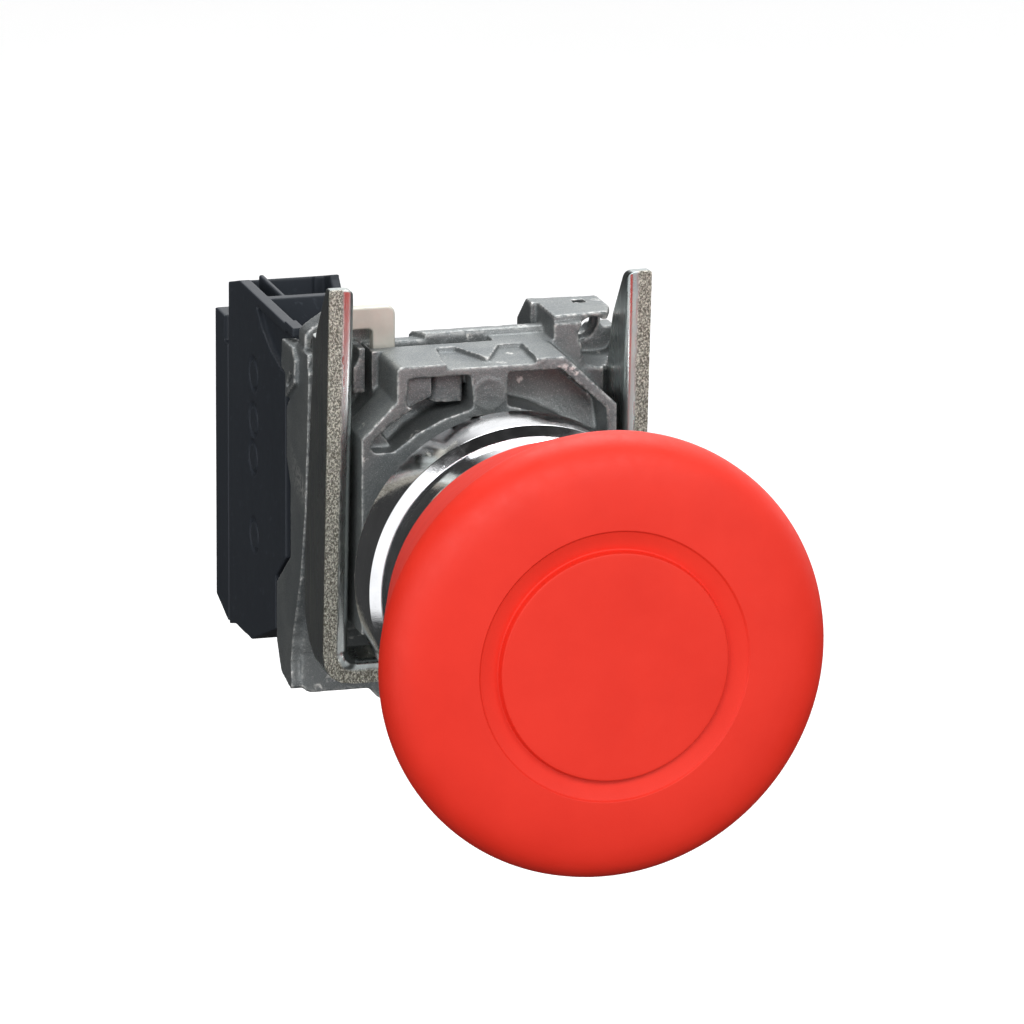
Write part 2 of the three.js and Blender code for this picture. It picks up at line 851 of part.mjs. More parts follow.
function blockRearCover() {
  const front = BLOCK_SPLIT_Y + GAP;
  const shell = plateYZ([
    [front, -16.1],
    [BLOCK_REAR_Y, -14.6, 0.3],
    [BLOCK_REAR_Y, 13.3, 0.3],
    [front, 13.3],
  ], -SIDE_X, BLOCK_RIGHT_X);
  const stations = [1, -1].flatMap((side) => {
    const near = side > 0 ? 6.4 : -12.6;
    return [
      rod(CONTACT_X, side * TERMINAL_Z, 2.9, 42, 50, 24),
      box(-13.3, -6.7, 43, 45.2, near, near + 6.2),
    ];
  });
  const boss = rod(CONTACT_X, 0, 1.2, 41.6, front + 1, 12);
  const relief = box(-SIDE_X - 1, -SIDE_X + 0.5, front - 1, 45, 10.8, 15);
  return cut(join(shell, boss), ...stations, relief);
}

function contactPlunger() {
  const tip = turned([
    [0, 19],
    [1, 19],
    [1.4, 19.4],
    [1.4, 26.6],
    [0, 26.6],
  ], 16, PLUNGER_X, 0);
  const carriage = box(-12, -7.6, 26.4, BRIDGE_Y - GAP, -2.3, 2.3);
  const guide = rod(CONTACT_X, 0, 0.85, BRIDGE_Y - GAP - 0.1, 35.6, 12);
  return join(tip, carriage, guide);
}

function contactBridge() {
  const strip = plateXZ([
    [-12, -4.6, 0.6],
    [-8, -4.6, 0.6],
    [-8, 4.6, 0.6],
    [-12, 4.6, 0.6],
  ], BRIDGE_Y, BRIDGE_Y + 0.8, 2);
  return cut(strip, rod(CONTACT_X, 0, 1.2, 30, 36, 12));
}

function fixedContact(side) {
  const strip = plateYZ([
    [31, 2.9 * side],
    [31.8, 2.9 * side],
    [31.8, 5 * side],
    [41.3, 5 * side],
    [41.3, 12.2 * side],
    [40.5, 12.2 * side],
    [40.5, 5.8 * side],
    [31, 5.8 * side],
  ], -12.4, -7.6);
  const rivet = rod(CONTACT_X, 3.9 * side, 0.9, 31.6, BRIDGE_Y - GAP, 12);
  const threadHole = rod(CONTACT_X, TERMINAL_Z * side, 1.85, 39, 43, 16);
  return cut(join(strip, rivet), threadHole);
}

function terminalScrew(side) {
  const body = turned([
    [0, 37.6],
    [1.1, 37.6],
    [1.5, 38.1],
    [1.5, 43.6],
    [2.5, 43.6],
    [2.5, 45.3],
    [2.1, 45.8],
    [0, 45.8],
  ], 18, CONTACT_X, TERMINAL_Z * side);
  return cut(body, ...crossRecess(CONTACT_X, TERMINAL_Z * side, 44.9, 46, 1));
}

function terminalClamp(side) {
  const low = (TERMINAL_Z - 2.7) * side;
  const high = (TERMINAL_Z + 2.6) * side;
  const plate = plateXZ([
    [-12.8, low, 0.4],
    [-7.2, low, 0.4],
    [-7.2, high, 0.4],
    [-12.8, high, 0.4],
  ], 42.35, BLOCK_SPLIT_Y, 2);
  return cut(plate, rod(CONTACT_X, TERMINAL_Z * side, 1.85, 42, 44, 16));
}

// ---- assembly -----------------------------------------------------------------------------------

const look = (color, roughness, metalness) => new THREE.MeshStandardMaterial({ color, roughness, metalness });
const redPlastic = look(0xe8382a, 0.4, 0);
const chrome = look(0xd8dadc, 0.08, 1);
const castZinc = look(0x74797b, 0.5, 0.9);
const zincPlate = look(0xa9aca2, 0.3, 1);
const palePlate = look(0xc8c3b4, 0.35, 1);
const blockPlastic = look(0x2f3337, 0.5, 0);
const blackPlastic = look(0x1c1d1f, 0.5, 0);
const rubber = look(0x161616, 0.8, 0);
const springSteel = look(0x9a9c9e, 0.25, 1);
const brass = look(0xb39455, 0.3, 1);
const signalRed = look(0xb5261e, 0.45, 0);

const root = new THREE.Group();

function group(...pieces) {
  const made = new THREE.Group();
  for (const [name, manifold, material] of pieces) {
    const mesh = new THREE.Mesh(geometryOf(manifold), material);
    mesh.name = name;
    made.add(mesh);
  }
  root.add(made);
}

group(
  ["mushroom_cap", mushroomCap(), redPlastic],
  ["push_stem", pushStem(), blackPlastic],
  ["pusher_plate", pusherPlate(), blackPlastic],
  ["pusher_screw", pusherScrew(), zincPlate],
  ["hold_spring", coil(0, 0, 7.2, 0.5, -1.3, 15.3, 6.5, 8), springSteel],
  ["detent_clip", detentClip(), springSteel],
  ["stem_seal", stemSeal(), rubber],
  ["neck_sleeve", neckSleeve(), chrome],
  ["bezel_ring", bezelRing(), chrome],
  ["panel_gasket", panelGasket(), rubber],
  ["head_barrel", headBarrel(), castZinc],
);

group(
  ["collar_body", collarBody(), castZinc],
  ["locking_lever", lockingLever(), palePlate],
  ["clamp_yoke", clampYoke(), zincPlate],
  ["tightening_screw", tighteningScrew(), zincPlate],
);

group(
  ["block_housing", blockHousing(), blockPlastic],
  ["block_rear_cover", blockRearCover(), blockPlastic],
  ["contact_plunger", contactPlunger(), signalRed],
  ["contact_bridge", contactBridge(), brass],
  ["contact_spring", coil(CONTACT_X, 0, 1.9, 0.22, BRIDGE_Y + 1.1, 43.3, 5, 6), springSteel],
  ["fixed_contact_upper", fixedContact(1), brass],
  ["fixed_contact_lower", fixedContact(-1), brass],
  ["terminal_screw_upper", terminalScrew(1), zincPlate],
  ["terminal_screw_lower", terminalScrew(-1), zincPlate],
  ["terminal_clamp_upper", terminalClamp(1), zincPlate],
  ["terminal_clamp_lower", terminalClamp(-1), zincPlate],
);

export default root;
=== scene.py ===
import json
import math

import bmesh
import bpy
from mathutils import Matrix, Vector, noise

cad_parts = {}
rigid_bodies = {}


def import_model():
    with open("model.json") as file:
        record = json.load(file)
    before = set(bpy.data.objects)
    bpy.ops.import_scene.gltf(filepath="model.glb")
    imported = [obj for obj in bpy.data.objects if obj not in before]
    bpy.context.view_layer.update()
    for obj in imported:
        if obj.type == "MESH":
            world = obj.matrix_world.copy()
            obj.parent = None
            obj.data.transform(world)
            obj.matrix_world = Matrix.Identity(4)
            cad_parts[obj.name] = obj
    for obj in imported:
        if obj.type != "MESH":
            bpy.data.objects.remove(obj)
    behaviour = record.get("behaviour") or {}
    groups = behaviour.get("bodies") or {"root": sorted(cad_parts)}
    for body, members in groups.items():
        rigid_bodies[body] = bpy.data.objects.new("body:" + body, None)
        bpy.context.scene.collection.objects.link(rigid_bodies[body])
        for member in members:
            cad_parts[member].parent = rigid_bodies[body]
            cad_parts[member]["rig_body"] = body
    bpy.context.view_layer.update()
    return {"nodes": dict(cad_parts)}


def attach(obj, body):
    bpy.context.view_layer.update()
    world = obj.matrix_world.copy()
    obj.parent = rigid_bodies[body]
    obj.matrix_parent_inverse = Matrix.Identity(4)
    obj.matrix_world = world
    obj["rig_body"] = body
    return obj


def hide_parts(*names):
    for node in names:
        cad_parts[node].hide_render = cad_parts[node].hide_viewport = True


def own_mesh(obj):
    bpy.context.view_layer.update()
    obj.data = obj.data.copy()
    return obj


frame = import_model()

MM = 0.001

# ---- camera, floor and light --------------------------------------------------------------------

AZIMUTH, ELEVATION, ROLL = (math.radians(v) for v in (16.12, 15.43, 0.32))
TARGET = Vector((0.1, 0.0, 5.14)) * MM
DISTANCE = 762.82 * MM
LENS, SENSOR = 300.65, 36  # focal length and sensor width, in millimetres

FLOOR_Z = -250 * MM
FLOOR_HALF = 4.0
FLOOR_TONES = ((0.92, 0.92, 0.92), (0.94, 0.94, 0.94))
FLOOR_GLOW = 0.35  # brings the background up to the photograph's white

# How bright each part of the studio is.
FRONT_LEFT_SHARE = 0.8
FRONT, OVERHEAD = 0.62, 0.03
BACK_LEFT, BACK_RIGHT = 0.05, 1.2
LOW_FRONT, LOW_BACK = 0.5, 0.05
LEFT_CARD, FRONT_CARD = 1.3, 1.15

# Name, place, point that it faces (in metres), width, height (in metres) and power (in watts).
SOFTBOXES = (
    ("light_top", (0.15, 0.4, 0.9), (0, 0, 0), 0.8, 0.6, 8),
    ("light_front_right", (0.5, -1.0, 0.85), (0, 0, 0), 0.6, 0.5, 4.5),
    ("light_front", (-0.4, -1.05, 0.75), (0, -0.02, 0), 0.9, 0.5, 7.2),
)

RANGE_SOCKETS = ("From Min", "From Max", "To Min", "To Max")


def add_camera():
    back = Vector((
        -math.sin(AZIMUTH) * math.cos(ELEVATION),
        -math.cos(AZIMUTH) * math.cos(ELEVATION),
        math.sin(ELEVATION),
    ))
    right = Vector((math.cos(AZIMUTH), -math.sin(AZIMUTH), 0))
    up = back.cross(right)
    turned_right = right * math.cos(ROLL) + up * math.sin(ROLL)
    turned_up = up * math.cos(ROLL) - right * math.sin(ROLL)
    data = bpy.data.cameras.new("camera")
    data.lens = LENS
    data.sensor_width = SENSOR
    data.clip_start = 10 * MM
    camera = bpy.data.objects.new("camera", data)
    place = Matrix((turned_right, turned_up, back)).transposed().to_4x4()
    place.translation = TARGET + back * DISTANCE
    camera.matrix_world = place
    bpy.context.scene.collection.objects.link(camera)
    bpy.context.scene.camera = camera


def add_softbox(name, place, aim, width, height, power):
    data = bpy.data.lights.new(name, "AREA")
    data.shape = "RECTANGLE"
    data.size = width
    data.size_y = height
    data.energy = power
    light = bpy.data.objects.new(name, data)
    light.location = place
    light.rotation_euler = (Vector(aim) - Vector(place)).to_track_quat("-Z", "Y").to_euler()
    bpy.context.scene.collection.objects.link(light)


def set_range(node, *numbers):
    for socket, number in zip(RANGE_SOCKETS, numbers):
        node.inputs[socket].default_value = number


def add_world():
    """Bright in front, behind on the right and on two cards, dark behind on the left and above."""
    world = bpy.data.worlds.new("studio")
    bpy.context.scene.world = world
    world.use_nodes = True
    tree = world.node_tree
    background = tree.nodes["Background"]
    split = tree.nodes.new("ShaderNodeSeparateXYZ")
    tree.links.new(tree.nodes.new("ShaderNodeTexCoord").outputs["Generated"], split.inputs[0])

    def ramp(axis, low, high, to_low=0.0, to_high=1.0):
        node = tree.nodes.new("ShaderNodeMapRange")
        node.interpolation_type = "SMOOTHSTEP"
        set_range(node, low, high, to_low, to_high)
        tree.links.new(split.outputs[axis], node.inputs["Value"])
        return node.outputs[0]

    def both(operation, first, second):
        node = tree.nodes.new("ShaderNodeMath")
        node.operation = operation
        tree.links.new(first, node.inputs[0])
        tree.links.new(second, node.inputs[1])
        return node.outputs[0]

    def blend(factor, first, second):
        node = tree.nodes.new("ShaderNodeMix")
        for value, socket in ((factor, 0), (first, 2), (second, 3)):
            tree.links.new(value, node.inputs[socket])
        return node.outputs[0]

    # The numbers are parts of a unit vector from the object: X right, Y back and Z up.
    front_upper = both(
        "MULTIPLY",
        ramp("Z", 0.66, 0.78, FRONT, OVERHEAD),
        ramp("X", -0.7, 0.4, FRONT_LEFT_SHARE, 1.0),
    )
    back_upper = ramp("X", -0.12, 0.10, BACK_LEFT, BACK_RIGHT)
    upper = blend(ramp("Y", -0.1, 0.3), front_upper, back_upper)
    lower = ramp("Y", -0.75, -0.35, LOW_FRONT, LOW_BACK)
    light = blend(ramp("Z", -0.12, 0.06), lower, upper)

    left_card = both(
        "MULTIPLY",
        ramp("X", -0.56, -0.42, LEFT_CARD, 0.0),
        ramp("Y", -0.1, 0.05, 1.0, 0.0),
    )
    left_card_height = both("MULTIPLY", ramp("Z", -0.5, -0.35), ramp("Z", 0.70, 0.75, 1.0, 0.0))
    left_card = both("MULTIPLY", left_card, left_card_height)
    front_card = both(
        "MULTIPLY",
        ramp("X", 0.1, 0.24, 0.0, FRONT_CARD),
        ramp("Y", -0.84, -0.72, 1.0, 0.0),
    )
    front_card = both("MULTIPLY", front_card, ramp("Z", -0.5, -0.36))
    light = both("MAXIMUM", light, front_card)
    tree.links.new(both("MAXIMUM", light, left_card), background.inputs["Strength"])
    background.inputs["Color"].default_value = (1, 1, 1, 1)


def add_floor():
    mesh = bpy.data.meshes.new("floor")
    corners = [(-1, -1), (1, -1), (1, 1), (-1, 1)]
    points = [(x * FLOOR_HALF, y * FLOOR_HALF, FLOOR_Z) for x, y in corners]
    mesh.from_pydata(points, [], [(0, 1, 2, 3)])
    floor = bpy.data.objects.new("floor", mesh)
    bpy.context.scene.collection.objects.link(floor)
    look = Look("floor_pale", (0.93, 0.93, 0.93), roughness=0.9)
    look.colour_noise(8, *FLOOR_TONES)
    look.shader.inputs["Emission Color"].default_value = (1, 1, 1, 1)
    look.shader.inputs["Emission Strength"].default_value = FLOOR_GLOW
    mesh.materials.append(look.material)
    floor.visible_glossy = False
    floor.visible_diffuse = False


def add_lights():
    for softbox in SOFTBOXES:
        add_softbox(*softbox)


# ---- materials ----------------------------------------------------------------------------------


NOISE_MIDDLE = (0.35, 0.65)  # the part of a noise that colour_noise spreads over both colours


class Look:
    """A procedural material on object coordinates, which are the row frame in metres.

    The scale of a noise is in features per metre, so 1000 gives features of about 1 mm.
    """

    def __init__(self, name, colour, metallic=0.0, roughness=0.5):
        self.material = bpy.data.materials.new(name)
        self.material.use_nodes = True
        self.tree = self.material.node_tree
        self.shader = self.tree.nodes["Principled BSDF"]
        self.shader.inputs["Base Color"].default_value = (*colour, 1)
        self.shader.inputs["Metallic"].default_value = metallic
        self.shader.inputs["Roughness"].default_value = roughness
        self.where = self.tree.nodes.new("ShaderNodeTexCoord").outputs["Object"]
        self.normal = None

    def link(self, source, target):
        self.tree.links.new(source, target)

    def stretched(self, scale):
        """Object coordinates times a scale for each axis."""
        node = self.tree.nodes.new("ShaderNodeMapping")
        node.inputs["Scale"].default_value = scale
        self.link(self.where, node.inputs["Vector"])
        return node.outputs[0]

    def noise(self, scale, detail=2.0, rough=0.5, stretch=None):
        node = self.tree.nodes.new("ShaderNodeTexNoise")
        node.inputs["Scale"].default_value = scale
        node.inputs["Detail"].default_value = detail
        node.inputs["Roughness"].default_value = rough
        self.link(self.stretched(stretch) if stretch else self.where, node.inputs["Vector"])
        return node.outputs["Fac"]

    def spots(self, scale):
        node = self.tree.nodes.new("ShaderNodeTexVoronoi")
        node.inputs["Scale"].default_value = scale
        self.link(self.where, node.inputs["Vector"])
        return node.outputs["Distance"]

    def ranged(self, value, low, high, to_low=0.0, to_high=1.0):
        node = self.tree.nodes.new("ShaderNodeMapRange")
        set_range(node, low, high, to_low, to_high)
        self.link(value, node.inputs["Value"])
        return node.outputs[0]

    def math(self, operation, a, b):
        node = self.tree.nodes.new("ShaderNodeMath")
        node.operation = operation
        for socket, value in zip(node.inputs, (a, b)):
            if isinstance(value, (int, float)):
                socket.default_value = value
            else:
                self.link(value, socket)
        return node.outputs[0]

    def mixed(self, factor, a, b):
        """A colour between a and b, each a colour or another node's output."""
        node = self.tree.nodes.new("ShaderNodeMix")
        node.data_type = "RGBA"
        self.link(factor, node.inputs["Factor"])
        for socket, value in ((node.inputs[6], a), (node.inputs[7], b)):
            if isinstance(value, tuple):
                socket.default_value = (*value, 1)
            else:
                self.link(value, socket)
        return node.outputs[2]

    def colour(self, value):
        self.link(value, self.shader.inputs["Base Color"])

    def colour_noise(self, scale, a, b, detail=3.0):
        factor = self.ranged(self.noise(scale, detail), *NOISE_MIDDLE)
        self.colour(self.mixed(factor, a, b))

    def roughness(self, value):
        self.link(value, self.shader.inputs["Roughness"])

    def bump(self, height, strength, distance):
        node = self.tree.nodes.new("ShaderNodeBump")
        node.inputs["Strength"].default_value = strength
        node.inputs["Distance"].default_value = distance
        self.link(height, node.inputs["Height"])
        if self.normal:
            self.link(self.normal, node.inputs["Normal"])
        self.normal = node.outputs[0]
        self.link(self.normal, self.shader.inputs["Normal"])

    def edges(self, low, high):
        """1 on convex edges, where the pointiness passes high, and 0 where it is under low."""
        node = self.tree.nodes.new("ShaderNodeNewGeometry")
        return self.ranged(node.outputs["Pointiness"], low, high)

    def along_y(self):
        """Object coordinate Y, in metres."""
        node = self.tree.nodes.new("ShaderNodeSeparateXYZ")
        self.link(self.where, node.inputs[0])
        return node.outputs["Y"]

    def attribute(self, name):
        node = self.tree.nodes.new("ShaderNodeAttribute")
        node.attribute_name = name
        return node.outputs["Fac"]


CAP_RIM_END = (-28.4 * MM, -27.6 * MM)  # along Y, where the cap's rim turns into its duller back


def red_plastic():
    look = Look("cap_red_satin", (0.82, 0.030, 0.014), roughness=0.45)
    look.shader.inputs["IOR"].default_value = 1.48
    look.shader.inputs["Specular IOR Level"].default_value = 0.36
    look.colour_noise(140, (0.84, 0.032, 0.015), (0.79, 0.027, 0.012), detail=4.0)
    grain = look.ranged(look.noise(900, 4.0), 0.3, 0.7, 0.44, 0.56)
    behind_rim = look.ranged(look.along_y(), *CAP_RIM_END, 0.0, 0.3)
    look.roughness(look.math("ADD", grain, behind_rim))
    look.bump(look.noise(5200, 3.0, 0.6), 0.14, 0.00006)
    look.bump(look.noise(70, 2.0), 0.05, 0.0004)
    return look.material


def chrome():
    look = Look("chrome_plate", (0.80, 0.81, 0.83), metallic=1.0, roughness=0.07)
    look.roughness(look.ranged(look.noise(700, 6.0, 0.65), 0.35, 0.75, 0.06, 0.2))
    look.colour_noise(260, (0.84, 0.85, 0.87), (0.70, 0.71, 0.73), detail=5.0)
    look.bump(look.noise(1900, 4.0, 0.7), 0.10, 0.00005)
    look.bump(look.ranged(look.spots(2600), 0.0, 0.18), 0.12, 0.00003)
    return look.material


def cast_zinc():
    look = Look("cast_zinc_blasted", (0.22, 0.235, 0.24), metallic=0.68, roughness=0.5)
    grain = look.noise(4200, 4.0, 0.7)
    cloud = look.noise(240, 4.0)
    base = look.mixed(look.ranged(cloud, 0.3, 0.7), (0.165, 0.182, 0.19), (0.235, 0.25, 0.25))
    specks = look.ranged(look.noise(12000, 2.0), 0.56, 0.68)
    # Lighter colour on convex edges: partly wear, partly a painted highlight along the edges.
    edge_wear_and_highlight = look.math(
        "MULTIPLY", look.edges(0.505, 0.56), look.ranged(look.noise(2400, 3.0), 0.42, 0.58)
    )
    bright = look.math("MAXIMUM", look.math("MULTIPLY", specks, 0.4), edge_wear_and_highlight)
    look.colour(look.mixed(bright, base, (0.72, 0.72, 0.70)))
    dull = look.ranged(grain, 0.3, 0.7, 0.38, 0.58)
    look.roughness(look.math("SUBTRACT", dull, look.math("MULTIPLY", edge_wear_and_highlight, 0.14)))
    look.bump(grain, 0.55, 0.00010)
    look.bump(look.noise(900, 3.0), 0.25, 0.00022)
    return look.material


def yoke_steel():
    look = Look("yoke_zinc_plated", (0.56, 0.58, 0.55), metallic=1.0, roughness=0.3)
    torn = look.attribute("torn")
    bloom = look.ranged(look.noise(190, 5.0, 0.6), 0.32, 0.68)
    streak = look.noise(900, 4.0, 0.65, stretch=(1, 1, 0.06))
    plated = look.mixed(bloom, (0.44, 0.485, 0.49), (0.62, 0.65, 0.62))
    plated = look.mixed(look.ranged(streak, 0.5, 0.8), plated, (0.40, 0.415, 0.40))
    tear = look.noise(8200, 4.0, 0.75)
    flecks = look.ranged(look.noise(6800, 3.0, 0.7, stretch=(1, 1, 0.7)), 0.44, 0.60)
    rough_metal = look.mixed(flecks, (0.24, 0.23, 0.19), (0.96, 0.94, 0.84))
    look.colour(look.mixed(torn, plated, rough_metal))
    rolled = look.ranged(streak, 0.3, 0.7, 0.20, 0.38)
    look.roughness(look.math("ADD", rolled, look.math("MULTIPLY", torn, 0.12)))
    look.bump(look.math("MULTIPLY", tear, torn), 1.0, 0.00016)
    look.bump(streak, 0.10, 0.00006)
    return look.material


def plated_steel(name, dark, light, rough, metallic=1.0):
    look = Look(name, light, metallic=metallic, roughness=rough[1])
    look.colour_noise(300, dark, light, detail=5.0)
    look.roughness(look.ranged(look.noise(1300, 4.0), 0.3, 0.7, *rough))
    look.bump(look.noise(3000, 3.0), 0.14, 0.00005)
    return look.material


def moulded_plastic(name, colour, lift, rough=(0.40, 0.56)):
    look = Look(name, colour, roughness=rough[1])
    look.shader.inputs["Specular IOR Level"].default_value = 0.3
    lighter = tuple(c * (1 + lift) + 0.004 for c in colour)
    # Lighter colour on convex edges: partly wear, partly a painted highlight along the edges.
    edge_wear_and_highlight = look.math("MULTIPLY", look.edges(0.64, 0.76), 0.4)
    flow = look.ranged(look.noise(60, 3.0, stretch=(1, 1, 0.4)), 0.2, 0.8)
    base = look.mixed(flow, colour, lighter)
    look.colour(look.mixed(edge_wear_and_highlight, base, tuple(c * 2.4 + 0.02 for c in colour)))
    look.roughness(look.ranged(look.noise(900, 3.0), 0.3, 0.7, *rough))
    look.bump(look.noise(3600, 3.0, 0.6), 0.2, 0.00005)
    look.bump(look.noise(90, 2.0), 0.05, 0.0004)
    return look.material


def rubber():
    look = Look("black_rubber", (0.014, 0.014, 0.015), roughness=0.7)
    look.colour_noise(600, (0.010, 0.010, 0.011), (0.022, 0.022, 0.023))
    look.roughness(look.ranged(look.noise(1500, 3.0), 0.3, 0.7, 0.55, 0.8))
    look.bump(look.noise(4200, 3.0), 0.3, 0.00006)
    return look.material


# ---- mesh tools ---------------------------------------------------------------------------------


ON_AXIS = 1e-6  # a smaller radius is a point on the axis
MERGE_WITHIN = 0.002 * MM
CREASE = 60  # degrees between faces of a refined piece that make a sharp edge


def new_piece(name, mesh, look, body, nodes):
    piece = bpy.data.objects.new(name, mesh)
    bpy.context.scene.collection.objects.link(piece)
    mesh.materials.clear()
    mesh.materials.append(look)
    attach(piece, body)
    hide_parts(*nodes)
    return piece


def smooth_by_angle(mesh, degrees):
    for polygon in mesh.polygons:
        polygon.use_smooth = True
    mesh.set_sharp_from_angle(angle=math.radians(degrees))


def filleted(profile, steps):
    """A list of (r, y) from (r, y) or (r, y, fillet) corners, closed or from axis to axis."""
    open_ended = profile[0][0] == 0 and profile[-1][0] == 0
    points = []
    count = len(profile)
    for i, corner in enumerate(profile):
        here = Vector(corner[:2])
        at_end = open_ended and i in (0, count - 1)
        if len(corner) < 3 or at_end:
            points.append(tuple(here))
            continue
        back = Vector(profile[i - 1][:2]) - here
        ahead = Vector(profile[(i + 1) % count][:2]) - here
        half = back.angle(ahead) / 2
        reach = min(corner[2] / math.tan(half), back.length * 0.49, ahead.length * 0.49)
        start = here + back.normalized() * reach
        end = here + ahead.normalized() * reach
        for step in range(steps + 1):
            t = step / steps
            points.append(tuple((1 - t) ** 2 * start + 2 * t * (1 - t) * here + t * t * end))
    return points


def lathe_mesh(name, profile, segments=160, steps=5, sharp=32):
    """A surface of revolution about the Y axis, from a profile in millimetres."""
    points = filleted(profile, steps)
    bm = bmesh.new()
    rings = []
    for radius, y in points:
        if radius < ON_AXIS:
            rings.append([bm.verts.new(Vector((0, y, 0)) * MM)])
            continue
        ring = []
        for k in range(segments):
            angle = 2 * math.pi * k / segments
            point = Vector((radius * math.cos(angle), y, radius * math.sin(angle)))
            ring.append(bm.verts.new(point * MM))
        rings.append(ring)
    pairs = list(zip(rings, rings[1:]))
    if len(rings[0]) > 1:
        pairs.append((rings[-1], rings[0]))
    for a, b in pairs:
        for k in range(segments):
            n = (k + 1) % segments
            corners = [a[k % len(a)], a[n % len(a)], b[n % len(b)], b[k % len(b)]]
            unique = list(dict.fromkeys(corners))
            if len(unique) > 2:
                bm.faces.new(unique)
    bmesh.ops.recalc_face_normals(bm, faces=bm.faces)
    mesh = bpy.data.meshes.new(name)
    bm.to_mesh(mesh)
    bm.free()
    smooth_by_angle(mesh, sharp)
    return mesh


def evaluated_copy(piece):
    graph = bpy.context.evaluated_depsgraph_get()
    return bpy.data.meshes.new_from_object(piece.evaluated_get(graph))


def temporary(name, mesh):
    piece = bpy.data.objects.new(name, mesh)
    bpy.context.scene.collection.objects.link(piece)
    return piece


def merged(mesh):
    bm = bmesh.new()
    bm.from_mesh(mesh)
    bmesh.ops.remove_doubles(bm, verts=bm.verts, dist=MERGE_WITHIN)
    bmesh.ops.recalc_face_normals(bm, faces=bm.faces)
    bm.to_mesh(mesh)
    bm.free()


def rounded_solid(mesh, voxel, passes, shape, keep):
    """The solid with soft edges: rebuilt on a fine grid, smoothed, shaped and thinned out.

    voxel is the grid's size in millimetres, shape moves each point and keep is the share of
    faces left.
    """
    merged(mesh)
    work = temporary("work", mesh)
    grid = work.modifiers.new("grid", "REMESH")
    grid.mode = "VOXEL"
    grid.voxel_size = voxel * MM
    soften = work.modifiers.new("soften", "SMOOTH")
    soften.factor = 0.5
    soften.iterations = passes
    fine = evaluated_copy(work)
    bpy.data.objects.remove(work)
    if shape:
        for vertex in fine.vertices:
            vertex.co = shape(vertex.co / MM) * MM
    work = temporary("work", fine)
    thin = work.modifiers.new("thin", "DECIMATE")
    thin.ratio = keep
    fine = evaluated_copy(work)
    bpy.data.objects.remove(work)
    smooth_by_angle(fine, CREASE)
    return fine


def refined(node, look, voxel, passes=2, shape=None, keep=0.4):
    """A piece that stands for a CAD node, with soft edges."""
    source = frame["nodes"][node]
    mesh = rounded_solid(source.data.copy(), voxel, passes, shape, keep)
    mesh.name = node
    return new_piece(node + "_fine", mesh, look, source["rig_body"], [node])


def lathe_piece(node, profile, look, slot, **options):
    mesh = lathe_mesh(node, profile, **options)
    return new_piece(node + "_fine", mesh, look, frame["nodes"][node]["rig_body"], [node])


def smoothstep(low, high, value):
    t = min(max((value - low) / (high - low), 0.0), 1.0)
    return t * t * (3 - 2 * t)


# ---- head ---------------------------------------------------------------------------------------


def add_cap(look):
    profile = [
        (0, -32.8),
        (6, -32.79),
        (9.7, -32.74),
        (10.15, -32.7, 0.16),
        (10.3, -31.95, 0.16),
        (11.98, -32.38, 0.06),
        (12.14, -32.56, 0.08),
        (13.4, -32.47),
        (15.0, -32.27),
        (16.5, -31.97),
        (17.6, -31.63),
        (18.4, -31.22),
        (19.0, -30.75),
        (19.45, -30.2),
        (19.78, -29.55),
        (19.96, -28.9),
        (19.94, -28.35, 0.12),
        (15.0, -12.75, 0.25),
        (13.8, -12.72, 0.25),
        (13.6, -13.0),
        (17.2, -28.2, 0.8),
        (15.8, -29.9, 0.8),
        (11.2, -30.3, 0.6),
        (10.6, -29.7, 0.5),
        (10.6, -8.72, 0.25),
        (9.3, -8.72, 0.2),
        (9.3, -20),
        (4.8, -20),
        (4.8, -27),
        (0, -27),
    ]
    lathe_piece("mushroom_cap", profile, look, "cap_red", segments=256, steps=6, sharp=50)


